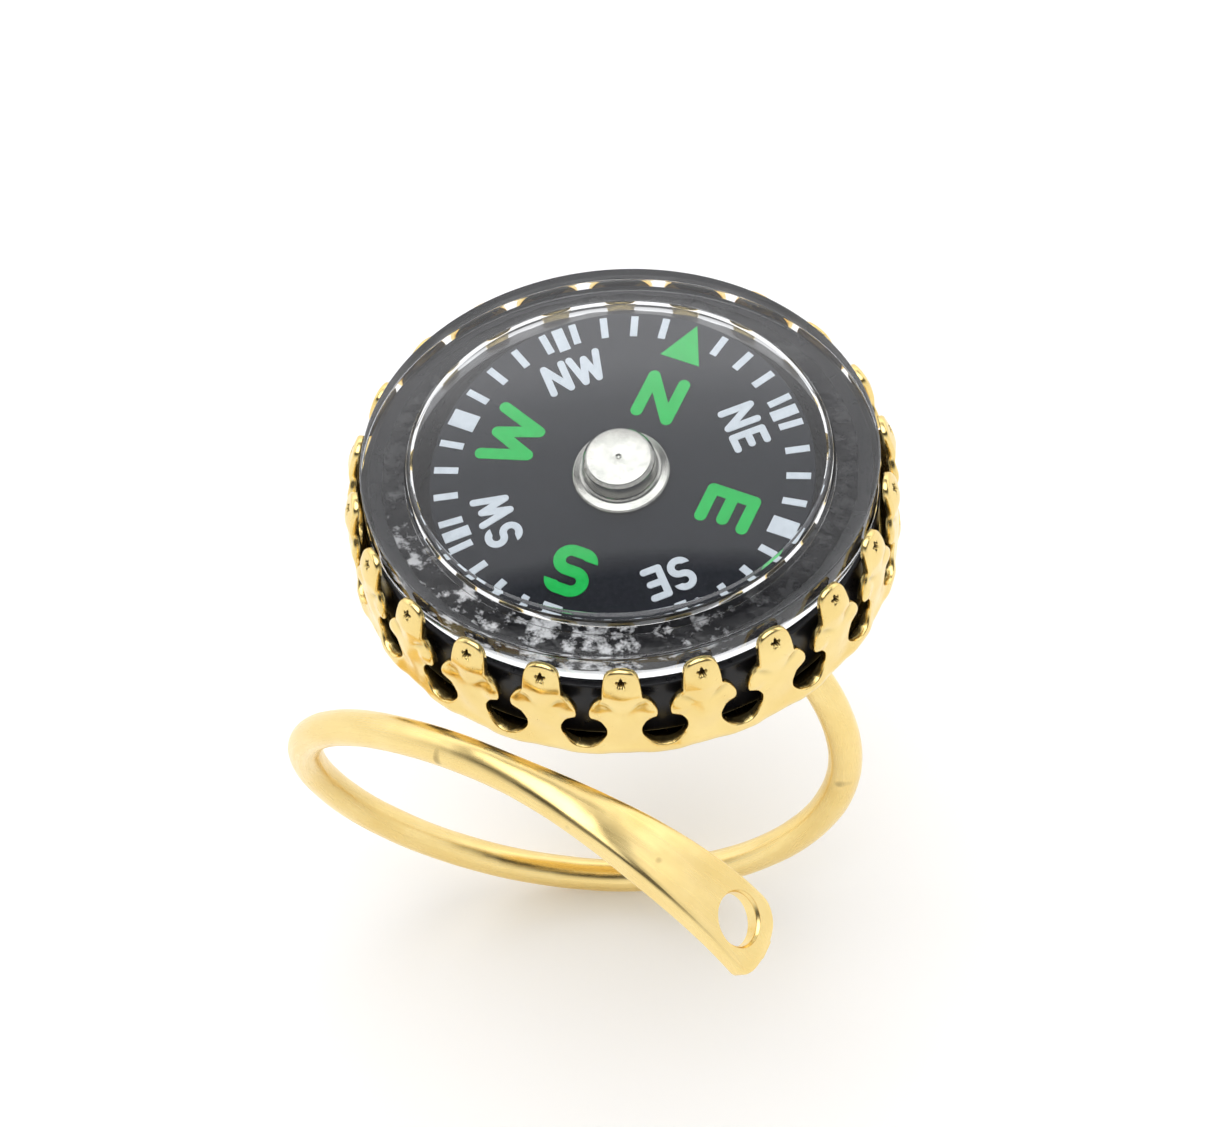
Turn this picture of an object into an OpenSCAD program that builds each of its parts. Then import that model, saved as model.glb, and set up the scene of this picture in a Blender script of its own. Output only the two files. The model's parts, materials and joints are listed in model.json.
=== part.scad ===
// Compass ring: an adjustable wire finger ring that carries a small dry compass in a crown-edged cup.
// Millimetres. +Z is the axis of the compass and +Y the axis of the finger hole.
// The origin is the centre of the finger hole, straight below the middle of the compass.

/* [Band] */
// Diameter of the finger hole
finger_hole_d = 16.9; // [15:0.1:20]
// Diameter of the round wire
wire_d = 1.4; // [1.2:0.05:1.6]
// How far the open end of the wire has moved along the finger
band_lead = 13.95; // [13.4:0.05:16]
// How far the open end stands out from the round of the finger hole
band_flare = 4.0; // [3:0.1:5]
// Width of the drilled paddle at the open end
paddle_w = 3.25; // [3.1:0.05:3.4]
// Thickness of the drilled paddle
paddle_t = 0.65; // [0.5:0.05:0.9]
// Diameter of the hole in the paddle
paddle_hole_d = 2.0; // [1.6:0.05:2.1]
// Thickness of the flattened end below the cup
seat_t = 1.0; // [0.9:0.05:1.2]

/* [Crown cup] */
// Thickness of the stamped sheet
sheet_t = 0.35; // [0.25:0.05:0.4]
// Gap between the compass and the wall of the cup
cup_gap = 0.35; // [0.2:0.05:0.5]
// Number of points round the crown
crown_points = 22; // [18:1:22]
// Height from the underside of the cup to the tips
crown_h = 4.9; // [4.6:0.1:5.1]
// How far the tips are pressed in against the compass
tip_lean = 0.3; // [0.1:0.05:0.3]
// Diameter of the round holes between the points
crown_hole_d = 1.7; // [1.3:0.05:1.7]
// Depth of solder between the band and the cup
solder_t = 0.3; // [0.2:0.05:0.5]

/* [Compass capsule] */
// Outer diameter of the compass
compass_d = 20; // [20:0.1:20.2]
// Height of the black case from its base to the shoulder that holds the lens
case_h = 3.4; // [3.4:0.05:3.6]
// Height of the clear wall of the lens
lens_wall_h = 1.35; // [1.3:0.05:1.4]
// Diameter of the raised window in the lens
window_d = 16.4; // [16:0.1:16.5]
// Thickness of the window
window_t = 0.3; // [0.26:0.02:0.32]
// Depth of the adhesive below the case
adhesive_t = 0.2; // [0.1:0.05:0.3]

/* [Dial] */
// Diameter of the card
card_d = 15; // [14.9:0.05:15]
// Thickness of the card
card_t = 0.25; // [0.2:0.05:0.3]
// How far the level card leans against the capsule
card_lean = 9.5; // [4:0.5:9.5]
// Which way the card leans, turned from -Y towards +X
card_lean_azimuth = 9; // [0:1:30]
// Heading of the north mark, clockwise from +Y
north_heading = 2.5; // [0:0.5:359.5]
// Diameter of the pivot cap
cap_d = 2.8; // [2.6:0.05:3]
// Diameter of the pivot pin
pin_d = 0.6; // [0.5:0.05:0.7]

/* [Hidden] */
fine = 96;
eps = 0.01;

// Band route: an opening spiral round the finger, counted in degrees from below the cup
shank_r = (finger_hole_d + wire_d) / 2;
band_start = -16;
band_end = 419.4;
lead_from = 93;
lead_to = 403;
flare_from = 115;
flare_to = 490;
paddle_from = 356;
paddle_to = 420;
paddle_hole_at = 411.2;
seat_to = 14;
seat_fade = 34;
seat_w = 2.6;
band_rings = 84;
band_sides = 16;
end_round = 1.1;
end_least = 0.3;

// Heights above the middle of the finger hole
seat_top = shank_r + seat_t / 2;
cup_base = seat_top + solder_t;
case_base = cup_base + sheet_t + adhesive_t;
shoulder_z = case_base + case_h;
rim_z = shoulder_z + lens_wall_h;
cup_r = compass_d / 2 + cup_gap + sheet_t;
cup_wall_r = cup_r - sheet_t / 2;
bend = 0.7;
lean_h = 1.2;

// Capsule
case_r = compass_d / 2;
chamber_r = 8.3;
case_floor_t = 0.85;
ledge_down = 0.4;
ledge_step = 0.3;
boss_r = 1.1;
boss_h = 0.85;
cement_t = 0.05;
cement_w = 0.9;
window_r = window_d / 2;
window_bevel = 0.17;
window_edge_rise = 0.18;
window_crown = 0.22;
window_inner_r = 8.0;
rim_round = 0.1;

// Dial assembly, measured from the tip of the pin along the axis of the card
tip_z = rim_z - 0.8;
card_top = -0.6;
card_under = card_top - card_t;
print_t = 0.03;
cap_top = 0.63;
cap_edge = 0.12;
cap_flange_r = 1.9;
cap_flange_t = 0.3;
cap_roof = 0.35;
spigot_r = 1.1;
spigot_end = -1.5;
jewel_r = 0.75;
jewel_foot = -0.5;
jewel_gap = 0.03;
jewel_mouth_r = 0.4;
magnet_l = 11;
magnet_w = 2.8;
magnet_t = 0.4;
washer_r = 1.7;
washer_t = 0.2;
pin_point_h = 1.1;

function clamp01(t) = min(1, max(0, t));
function ease(t) = let (c = clamp01(t)) c * c * (3 - 2 * c);
function mix(a, b, t) = a + (b - a) * t;

// Centre line of the wire
function band_r(a) = shank_r + band_flare * ease((a - flare_from) / (flare_to - flare_from));
function band_y(a) = -band_lead * ease((a - lead_from) / (lead_to - lead_from));
function band_point(a) = [band_r(a) * sin(a), band_y(a), band_r(a) * cos(a)];

// How far the wire has become the paddle, and how far it is the seat below the cup
function paddle_part(a) = ease((a - paddle_from) / (paddle_to - paddle_from));
function seat_part(a) = 1 - ease((a - seat_to) / (seat_fade - seat_to));

// Distance along the wire from either end, used to round the ends off
function to_end(a) = (band_end - a) * PI / 180 * band_r(a);
function to_start(a) = (a - band_start) * PI / 180 * band_r(a);
function round_end(d, r) = d >= r ? 1 : max(end_least, sqrt(max(0, 1 - pow(1 - d / r, 2))));

function band_half_w(a) =
    (a > 180 ? mix(wire_d, paddle_w, paddle_part(a)) : mix(wire_d, seat_w, seat_part(a))) / 2
    * round_end(to_end(a), end_round) * round_end(to_start(a), end_round);
function band_half_t(a) =
    (a > 180 ? mix(wire_d, paddle_t, paddle_part(a)) : mix(wire_d, seat_t, seat_part(a))) / 2;
// Roundness of the section: 1 is an ellipse, smaller is nearer to a strip with rounded edges
function band_power(a) = a > 180 ? mix(1, 0.5, paddle_part(a)) : mix(1, 0.6, seat_part(a));
function signed_pow(v, p) = sign(v) * pow(abs(v), p);

// One ring of points round the wire, in the plane square to its route
function unit(v) = v / norm(v);
function band_ring(a) =
    let (
        along = unit(band_point(a + 0.5) - band_point(a - 0.5)),
        out0 = [sin(a), 0, cos(a)],
        out = unit(out0 - (out0 * along) * along),
        side = cross(along, out)
    )
    [for (k = [0 : band_sides - 1]) let (t = 360 * k / band_sides)
        band_point(a) + out * band_half_t(a) * signed_pow(cos(t), band_power(a))
        + side * band_half_w(a) * signed_pow(sin(t), band_power(a))];

// Rings are evenly spaced, with extra ones where both ends round off
start_turn = end_round / band_r(band_start) * 180 / PI;
end_turn = end_round / band_r(band_end) * 180 / PI;
end_steps = [0.12, 0.3, 0.55, 0.8];
band_angles = concat(
    [band_start], [for (f = end_steps) band_start + f * start_turn],
    [for (i = [0 : band_rings]) mix(band_start + start_turn, band_end - end_turn, i / band_rings)],
    [for (i = [len(end_steps) - 1 : -1 : 0]) band_end - end_steps[i] * end_turn], [band_end]);

module band_solid() {
    rings = len(band_angles);
    points = [for (a = band_angles) each band_ring(a)];
    walls = [for (i = [0 : rings - 2], k = [0 : band_sides - 1])
        let (n = (k + 1) % band_sides, a = i * band_sides, b = a + band_sides)
        each [[a + k, b + k, b + n], [a + k, b + n, a + n]]];
    first = [for (k = [0 : band_sides - 1]) k];
    last = [for (k = [band_sides - 1 : -1 : 0]) (rings - 1) * band_sides + k];
    polyhedron(points, concat(walls, [first, last]), convexity = 6);
}

module ring_band() {
    hole_at = band_point(paddle_hole_at);
    color("gold") difference() {
        band_solid();
        translate(hole_at) rotate([0, paddle_hole_at, 0])
            cylinder(d = paddle_hole_d, h = 4, center = true, $fn = fine);
        translate([-3, -3, seat_top]) cube([6, 6, 2]);
    }
}

module solder_joint() {
    color("silver") translate([0, 0, seat_top])
        cylinder(r1 = 0.95, r2 = 1.7, h = solder_t, $fn = fine);
}

// Half of the gap between two points of the crown: distance from its middle and depth below the tips
half_pitch = PI * cup_wall_r / crown_points;
gap_side = [[half_pitch - 0.25, -0.5], [half_pitch - 0.25, 0.03], [half_pitch - 0.48, 0.12],
    [half_pitch - 0.64, 0.32], [half_pitch - 0.71, 0.6], [half_pitch - 0.75, 1.0], [half_pitch - 0.79, 1.3],
    [0.44, 1.6], [0.25, 1.95], [0.23, 2.25], [0.34, 2.6]];
crown_hole_down = 3.17;

module crown_gap() {
    left = [for (i = [len(gap_side) - 1 : -1 : 0]) [-gap_side[i][0], -gap_side[i][1]]];
    right = [for (p = gap_side) [p[0], -p[1]]];
    rotate([90, 0, 0]) linear_extrude(3, center = true) polygon(concat(right, left));
    translate([0, 0, -crown_hole_down]) rotate([90, 0, 0])
        cylinder(d = crown_hole_d, h = 3, center = true, $fn = 48);
}

// Outline of the cup out to radius r, straight up from the bend and then leaning in to the tips
module wall_outline(r, top) {
    polygon([[0, cup_base + bend], [r, cup_base + bend], [r, cup_base + crown_h - lean_h],
        [r - tip_lean, cup_base + crown_h], [r - tip_lean, top], [0, top]]);
}

module crown_cup() {
    cup_top = cup_base + crown_h;
    rotate_extrude($fn = fine) difference() {
        union() {
            translate([0, cup_base]) square([cup_r - bend, bend]);
            wall_outline(cup_r, cup_top);
            translate([cup_r - bend, cup_base + bend]) circle(bend, $fn = 48);
        }
        union() {
            translate([-1, cup_base + sheet_t]) square([cup_r - bend + 1, bend]);
            wall_outline(cup_r - sheet_t, cup_top + 1);
            translate([cup_r - bend, cup_base + bend]) circle(bend - sheet_t, $fn = 48);
        }
        translate([-30, 0]) square([30, 40]);
    }
}

// The first point stands a little left of -Y
crown_phase = 22.6;
module crown_setting() {
    color("gold") difference() {
        crown_cup();
        for (i = [0 : crown_points - 1])
            rotate(crown_phase + (i + 0.5) * 360 / crown_points)
                translate([0, -cup_wall_r, cup_base + crown_h]) crown_gap();
    }
}

module adhesive_bed() {
    color("whitesmoke") translate([0, 0, cup_base + sheet_t])
        cylinder(r = 8.6, h = adhesive_t, $fn = fine);
}

module compass_case() {
    color("#17181a") difference() {
        union() {
            translate([0, 0, case_base]) cylinder(r = case_r, h = case_h - ledge_down, $fn = fine);
            translate([0, 0, case_base]) cylinder(r = case_r - ledge_step, h = case_h, $fn = fine);
        }
        difference() {
            translate([0, 0, case_base + case_floor_t]) cylinder(r = chamber_r, h = case_h, $fn = fine);
            translate([0, 0, case_base]) cylinder(r = boss_r, h = case_floor_t + boss_h, $fn = 48);
        }
        translate([0, 0, case_base + case_floor_t - 0.4]) cylinder(d = pin_d, h = case_h, $fn = 32);
    }
}

module lens_cement() {
    color("#101113") translate([0, 0, shoulder_z]) difference() {
        cylinder(r = chamber_r + cement_w, h = cement_t, $fn = fine);
        translate([0, 0, -1]) cylinder(r = chamber_r, h = 2, $fn = fine);
    }
}

// Height of a shallow dome above its edge at radius r
function dome(r, edge_r, rise) = rise * (1 - pow(r / edge_r, 2));

module compass_lens() {
    steps = 10;
    outer = [for (i = [0 : steps]) let (r = (window_r - window_bevel) * i / steps)
        [r, rim_z + window_edge_rise + dome(r, window_r - window_bevel, window_crown)]];
    inner = [for (i = [steps : -1 : 0]) let (r = window_inner_r * i / steps)
        [r, rim_z + window_edge_rise - window_t + dome(r, window_inner_r, window_crown)]];
    foot_z = shoulder_z + cement_t;
    color("lightcyan", 0.4) rotate_extrude($fn = fine) polygon(concat(outer, [
        [window_r, rim_z],
        [case_r - rim_round, rim_z],
        [case_r - rim_round * 0.3, rim_z - rim_round * 0.3],
        [case_r, rim_z - rim_round],
        [case_r, foot_z],
        [chamber_r, foot_z],
        [chamber_r, rim_z - 0.5],
        [chamber_r - 0.1, rim_z - 0.3]], inner));
}

module pivot_pin() {
    foot = case_base + case_floor_t - 0.4;
    color("silver") {
        translate([0, 0, foot]) cylinder(d = pin_d, h = tip_z - pin_point_h - foot, $fn = 32);
        translate([0, 0, tip_z - pin_point_h]) cylinder(d1 = pin_d, d2 = 0.08, h = pin_point_h, $fn = 32);
    }
}

// Places the dial assembly: its origin on the tip of the pin, leaning with the level card
module on_card() {
    translate([0, 0, tip_z]) rotate(card_lean_azimuth) rotate([card_lean, 0, 0])
        rotate(-card_lean_azimuth) children();
}

module dial_card() {
    color("#3a3b40") on_card() translate([0, 0, card_under]) difference() {
        cylinder(d = card_d, h = card_t, $fn = fine);
        translate([0, 0, -1]) cylinder(r = spigot_r, h = 2, $fn = 48);
    }
}

// A straight stroke from p to q with round ends
module stroke(p, q, w) {
    d = q - p;
    translate(p) rotate(atan2(d[1], d[0])) translate([0, -w / 2]) square([norm(d), w]);
    translate(p) circle(d = w, $fn = 24);
    translate(q) circle(d = w, $fn = 24);
}

// Letters stand on y = 0 and are centred on x = 0
module letter_n(w, h, s) {
    x = (w - s) / 2;
    stroke([-x, s / 2], [-x, h - s / 2], s);
    stroke([x, s / 2], [x, h - s / 2], s);
    stroke([-x, h - s / 2], [x, s / 2], s);
}
module letter_e(w, h, s) {
    x = (w - s) / 2;
    stroke([-x, s / 2], [-x, h - s / 2], s);
    stroke([-x, s / 2], [x, s / 2], s);
    stroke([-x, h / 2], [x * 0.8, h / 2], s);
    stroke([-x, h - s / 2], [x, h - s / 2], s);
}
module letter_w(w, h, s) {
    x = (w - s) / 2;
    stroke([-x, h - s / 2], [-x / 2, s / 2], s);
    stroke([-x / 2, s / 2], [0, h * 0.8], s);
    stroke([0, h * 0.8], [x / 2, s / 2], s);
    stroke([x / 2, s / 2], [x, h - s / 2], s);
}
module half_ring(r, s, right) {
    difference() {
        circle(r + s / 2, $fn = 48);
        circle(r - s / 2, $fn = 48);
        translate([right ? -4 : 0, -4]) square([4, 8]);
    }
}
module letter_s(w, h, s) {
    r = (h - s) / 4;
    x = w / 2 - s / 2 - r;
    top = h - s / 2;
    mid = h / 2;
    translate([-x, mid + r]) half_ring(r, s, false);
    translate([x, mid - r]) half_ring(r, s, true);
    stroke([-x, top], [x, top], s);
    stroke([-x, mid], [x, mid], s);
    stroke([-x, s / 2], [x, s / 2], s);
    intersection() {
        translate([x, mid + r]) half_ring(r, s, true);
        translate([0, mid + r + r * 0.35]) square([w, r * 2]);
    }
    intersection() {
        translate([-x, mid - r]) half_ring(r, s, false);
        translate([-w, mid - r * 3.35]) square([w, r * 2]);
    }
}

// Places a flat mark at a heading clockwise from north, its foot at radius r
module at_heading(heading, r) {
    rotate(-north_heading - heading) translate([0, r]) children();
}

tick_in = 6.38;
tick_out = 7.33;
tick_w = 0.29;
mark_in = 6.25;
mark_w = 0.46;
block_w = 0.76;
arrow_in = 5.6;
arrow_w = 1.65;
big_h = 2.2;
big_s = 0.48;
small_h = 1.5;
small_s = 0.29;
small_foot = 4.38;

module dial_print_white() {
    color("#c8d0d6") on_card() translate([0, 0, card_top]) linear_extrude(print_t) {
        for (h = [10 : 10 : 350]) if (h % 90 != 0)
            at_heading(h, tick_in) translate([-tick_w / 2, 0]) square([tick_w, tick_out - tick_in]);
        for (h = [45 : 90 : 315])
            at_heading(h, mark_in) translate([-mark_w / 2, 0]) square([mark_w, tick_out - mark_in]);
        for (h = [90, 180, 270])
            at_heading(h, mark_in) translate([-block_w / 2, 0]) square([block_w, tick_out - mark_in]);
        at_heading(45, small_foot) {
            translate([-0.56, 0]) letter_n(1.02, small_h, small_s);
            translate([0.56, 0]) letter_e(0.86, small_h, small_s);
        }
        at_heading(135, small_foot) {
            translate([-0.52, 0]) letter_s(0.92, small_h, small_s);
            translate([0.52, 0]) letter_e(0.86, small_h, small_s);
        }
        at_heading(225, small_foot) {
            translate([-0.76, 0]) letter_s(0.92, small_h, small_s);
            translate([0.5, 0]) letter_w(1.4, small_h, small_s);
        }
        at_heading(315, small_foot) {
            translate([-0.76, 0]) letter_n(1.02, small_h, small_s);
            translate([0.5, 0]) letter_w(1.4, small_h, small_s);
        }
    }
}

module dial_print_green() {
    color("#2fae5b") on_card() translate([0, 0, card_top]) linear_extrude(print_t) {
        at_heading(0, arrow_in) polygon([[-arrow_w / 2, 0], [arrow_w / 2, 0], [0, tick_out - arrow_in]]);
        at_heading(0, 2.62) letter_n(1.75, big_h, big_s);
        at_heading(90, 3.38) letter_e(1.75, big_h, big_s);
        at_heading(180, 3.58) letter_s(1.75, big_h, big_s);
        at_heading(270, 3.55) letter_w(2.75, big_h, big_s);
    }
}

module pivot_cap() {
    color("silver") on_card() difference() {
        union() {
            translate([0, 0, card_top]) cylinder(r = cap_flange_r, h = cap_flange_t, $fn = fine);
            translate([0, 0, card_top]) cylinder(d = cap_d, h = cap_top - cap_edge - card_top, $fn = fine);
            translate([0, 0, cap_top - cap_edge])
                cylinder(d1 = cap_d, d2 = cap_d - 2 * cap_edge, h = cap_edge, $fn = fine);
            translate([0, 0, spigot_end]) cylinder(r = spigot_r, h = card_top - spigot_end + eps, $fn = 48);
        }
        translate([0, 0, spigot_end - 1])
            cylinder(r = jewel_r, h = cap_top - cap_roof - spigot_end + 1, $fn = 48);
        translate([0, 0, cap_top - 0.05]) cylinder(r1 = 0.05, r2 = 0.15, h = 0.1, $fn = 32);
    }
}

module pivot_jewel() {
    mouth_h = jewel_gap - jewel_foot;
    color("crimson") on_card() difference() {
        translate([0, 0, jewel_foot]) cylinder(r = jewel_r, h = cap_top - cap_roof - jewel_foot, $fn = 48);
        translate([0, 0, jewel_foot - eps])
            cylinder(r1 = jewel_mouth_r, r2 = 0.06, h = mouth_h + eps, $fn = 48);
    }
}

module needle_magnet() {
    end_r = magnet_w / 2;
    reach = magnet_l / 2 - end_r;
    color("dimgray") on_card() translate([0, 0, card_under - magnet_t]) linear_extrude(magnet_t)
        rotate(-north_heading) difference() {
            union() {
                translate([-end_r, -reach]) square([magnet_w, 2 * reach]);
                translate([0, reach]) circle(end_r, $fn = 48);
                translate([0, -reach]) circle(end_r, $fn = 48);
            }
            circle(spigot_r, $fn = 48);
        }
}

module magnet_washer() {
    color("goldenrod") on_card() translate([0, 0, card_under - magnet_t - washer_t]) difference() {
        cylinder(r = washer_r, h = washer_t, $fn = 64);
        translate([0, 0, -1]) cylinder(r = spigot_r, h = 2, $fn = 48);
    }
}

ring_band();
solder_joint();
crown_setting();
adhesive_bed();
compass_case();
lens_cement();
compass_lens();
pivot_pin();
dial_card();
dial_print_white();
dial_print_green();
pivot_cap();
pivot_jewel();
needle_magnet();
magnet_washer();
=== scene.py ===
import json
import math

import bpy
import bmesh
from mathutils import Matrix, Quaternion, Vector, noise
from mathutils.geometry import delaunay_2d_cdt


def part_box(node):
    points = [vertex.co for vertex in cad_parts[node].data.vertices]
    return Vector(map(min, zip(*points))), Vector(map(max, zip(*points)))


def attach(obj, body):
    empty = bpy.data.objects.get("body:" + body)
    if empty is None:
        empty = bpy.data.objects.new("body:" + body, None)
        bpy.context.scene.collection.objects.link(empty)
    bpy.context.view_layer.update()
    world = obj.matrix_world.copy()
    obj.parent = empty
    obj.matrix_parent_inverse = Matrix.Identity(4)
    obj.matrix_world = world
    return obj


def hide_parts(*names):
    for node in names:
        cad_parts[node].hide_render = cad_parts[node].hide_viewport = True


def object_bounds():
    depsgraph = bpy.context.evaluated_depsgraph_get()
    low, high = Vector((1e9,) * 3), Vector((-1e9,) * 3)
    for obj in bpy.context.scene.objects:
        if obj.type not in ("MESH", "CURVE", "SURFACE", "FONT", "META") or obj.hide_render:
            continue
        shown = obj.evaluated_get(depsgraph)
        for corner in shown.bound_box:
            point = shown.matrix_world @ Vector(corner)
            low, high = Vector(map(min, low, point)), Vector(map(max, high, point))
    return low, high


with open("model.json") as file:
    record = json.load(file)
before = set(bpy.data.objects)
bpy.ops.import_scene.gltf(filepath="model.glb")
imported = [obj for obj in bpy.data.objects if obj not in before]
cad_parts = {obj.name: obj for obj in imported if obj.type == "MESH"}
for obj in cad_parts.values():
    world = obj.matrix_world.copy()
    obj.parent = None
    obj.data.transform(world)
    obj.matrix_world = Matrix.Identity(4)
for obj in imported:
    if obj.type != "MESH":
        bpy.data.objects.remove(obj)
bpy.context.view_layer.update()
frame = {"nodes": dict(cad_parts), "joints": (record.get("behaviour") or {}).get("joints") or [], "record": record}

MM = 0.001
SHARP_DEG = 40
record_joint = frame["joints"][0]


def height(node, corner):
    """Lowest (0) or highest (1) point of a CAD node, in mm."""
    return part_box(node)[corner].z / MM


# ---------------------------------------------------------------- helpers

def ease(t):
    """Smooth step from 0 to 1 as t goes from 0 to 1."""
    t = min(1.0, max(0.0, t))
    return t * t * (3 - 2 * t)


def mix(a, b, t):
    return a + (b - a) * t


def bump2(x, y, rx, ry):
    """A smooth hump of height 1 that reaches 0 at the ellipse rx, ry."""
    q = (x / rx) ** 2 + (y / ry) ** 2
    return (1 - q) ** 2 if q < 1 else 0.0


def quarter_round(t):
    """Height of a quarter circle of radius 1, rising from 0 to 1 as t goes from 0 to 1."""
    return math.sqrt(max(0.0, 1 - (1 - t) ** 2))


def finish_mesh(name, bm, sharp_deg=SHARP_DEG):
    """Makes an object of a bmesh, smooth apart from its edges sharper than sharp_deg."""
    bmesh.ops.recalc_face_normals(bm, faces=bm.faces)
    limit = math.radians(sharp_deg)
    for face in bm.faces:
        face.smooth = True
    for edge in bm.edges:
        if len(edge.link_faces) == 2 and edge.calc_face_angle(0) > limit:
            edge.smooth = False
    mesh = bpy.data.meshes.new(name)
    bm.to_mesh(mesh)
    bm.free()
    obj = bpy.data.objects.new(name, mesh)
    bpy.context.scene.collection.objects.link(obj)
    return obj


def fillet(corners, steps=5):
    """A profile with each corner (r, z, radius) rounded off by an arc."""
    out = []
    count = len(corners)
    for i, (r, z, radius) in enumerate(corners):
        here = Vector((r, z))
        if radius <= 0 or i in (0, count - 1):
            out.append((r, z))
            continue
        before = Vector(corners[i - 1][:2]) - here
        after = Vector(corners[i + 1][:2]) - here
        half = before.angle(after) / 2
        cut = min(radius / math.tan(half), before.length * 0.49, after.length * 0.49)
        radius = cut * math.tan(half)
        a, b = here + before.normalized() * cut, here + after.normalized() * cut
        inward = (before.normalized() + after.normalized()).normalized()
        centre = here + inward * (radius / math.sin(half))
        va, vb = a - centre, b - centre
        sweep = va.angle_signed(vb) if va.length > 0 else 0
        for k in range(steps + 1):
            t = k / steps
            ang = -sweep * t
            c, s = math.cos(ang), math.sin(ang)
            out.append((centre.x + va.x * c - va.y * s, centre.y + va.x * s + va.y * c))
    return out


def lathe(name, profile, segments, matrix=None, wobble=None, closed=False, sharp_deg=SHARP_DEG):
    """Turns a profile of (r, z) in mm round Z. wobble(r, z, angle) may move a point."""
    bm = bmesh.new()
    rings = []
    for r, z in profile:
        if r < 1e-6:
            rings.append([bm.verts.new((0, 0, z * MM))])
            continue
        ring = []
        for k in range(segments):
            a = 2 * math.pi * k / segments
            rr, zz = wobble(r, z, a) if wobble else (r, z)
            ring.append(bm.verts.new((rr * math.cos(a) * MM, rr * math.sin(a) * MM, zz * MM)))
        rings.append(ring)
    pairs = list(zip(rings, rings[1:]))
    if closed:
        pairs.append((rings[-1], rings[0]))
    for p, q in pairs:
        for k in range(segments):
            n = (k + 1) % segments
            if len(p) == 1 and len(q) == 1:
                break
            if len(p) == 1:
                bm.faces.new((p[0], q[k], q[n]))
            elif len(q) == 1:
                bm.faces.new((p[k], q[0], p[n]))
            else:
                bm.faces.new((p[k], q[k], q[n], p[n]))
    if matrix is not None:
        bmesh.ops.transform(bm, matrix=matrix, verts=bm.verts)
    return finish_mesh(name, bm, sharp_deg)


def place(obj, body, node):
    """Says what a piece rides on, and the CAD node it stands for."""
    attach(obj, body)
    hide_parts(node)


# ---------------------------------------------------------------- materials

def set_ramp(ramp, stops):
    """Gives a colour ramp these (position, colour) stops, in rising order."""
    while len(ramp.elements) > 1:
        ramp.elements.remove(ramp.elements[-1])
    ramp.elements[0].position = stops[0][0]
    ramp.elements[0].color = (*stops[0][1], 1)
    for at, colour in stops[1:]:
        ramp.elements.new(at).color = (*colour, 1)


class Nodes:
    """Builds one material's node tree."""

    def __init__(self, name):
        self.mat = bpy.data.materials.new(name)
        self.mat.use_nodes = True
        self.tree = self.mat.node_tree
        self.tree.nodes.clear()
        self.out = self.tree.nodes.new("ShaderNodeOutputMaterial")
        self.bsdf = self.tree.nodes.new("ShaderNodeBsdfPrincipled")
        self.tree.links.new(self.bsdf.outputs[0], self.out.inputs["Surface"])
        self.coord = self.tree.nodes.new("ShaderNodeTexCoord").outputs["Object"]

    def link(self, a, b):
        self.tree.links.new(a, b)

    def scaled(self, source, scale):
        m = self.tree.nodes.new("ShaderNodeMapping")
        m.inputs["Scale"].default_value = scale
        self.link(source, m.inputs["Vector"])
        return m.outputs[0]

    def noise(self, scale, detail=3.0, rough=0.55, source=None):
        n = self.tree.nodes.new("ShaderNodeTexNoise")
        n.inputs["Scale"].default_value = scale
        n.inputs["Detail"].default_value = detail
        n.inputs["Roughness"].default_value = rough
        self.link(source or self.coord, n.inputs["Vector"])
        return n.outputs["Fac"]

    def ramp(self, fac, stops):
        n = self.tree.nodes.new("ShaderNodeValToRGB")
        set_ramp(n.color_ramp, stops)
        self.link(fac, n.inputs["Fac"])
        return n.outputs["Color"]

    def spread(self, fac, low, high, a=0.3, b=0.7):
        """Stretches fac from a..b to low..high."""
        n = self.tree.nodes.new("ShaderNodeMapRange")
        for socket, value in zip(("From Min", "From Max", "To Min", "To Max"), (a, b, low, high)):
            n.inputs[socket].default_value = value
        self.link(fac, n.inputs["Value"])
        return n.outputs[0]

    def blend(self, fac, colour, other):
        """A colour that turns into the fixed colour other as fac goes to 1."""
        n = self.tree.nodes.new("ShaderNodeMix")
        n.data_type = "RGBA"
        n.inputs["B"].default_value = (*other, 1)
        self.link(fac, n.inputs["Factor"])
        self.link(colour, n.inputs["A"])
        return n.outputs["Result"]

    def bump(self, fac, strength, distance, normal=None):
        n = self.tree.nodes.new("ShaderNodeBump")
        n.inputs["Strength"].default_value = strength
        n.inputs["Distance"].default_value = distance
        self.link(fac, n.inputs["Height"])
        if normal:
            self.link(normal, n.inputs["Normal"])
        return n.outputs["Normal"]

    def set(self, **values):
        for key, value in values.items():
            self.bsdf.inputs[key.replace("_", " ")].default_value = value
        return self

    def to(self, socket, output):
        self.link(output, self.bsdf.inputs[socket])
        return self


# SPECK is a colour for small random spots; the second colour is painted shade for the crown's recesses
SPECK, RECESS_SHADE = (0.10, 0.065, 0.03), (0.035, 0.022, 0.010)


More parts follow.
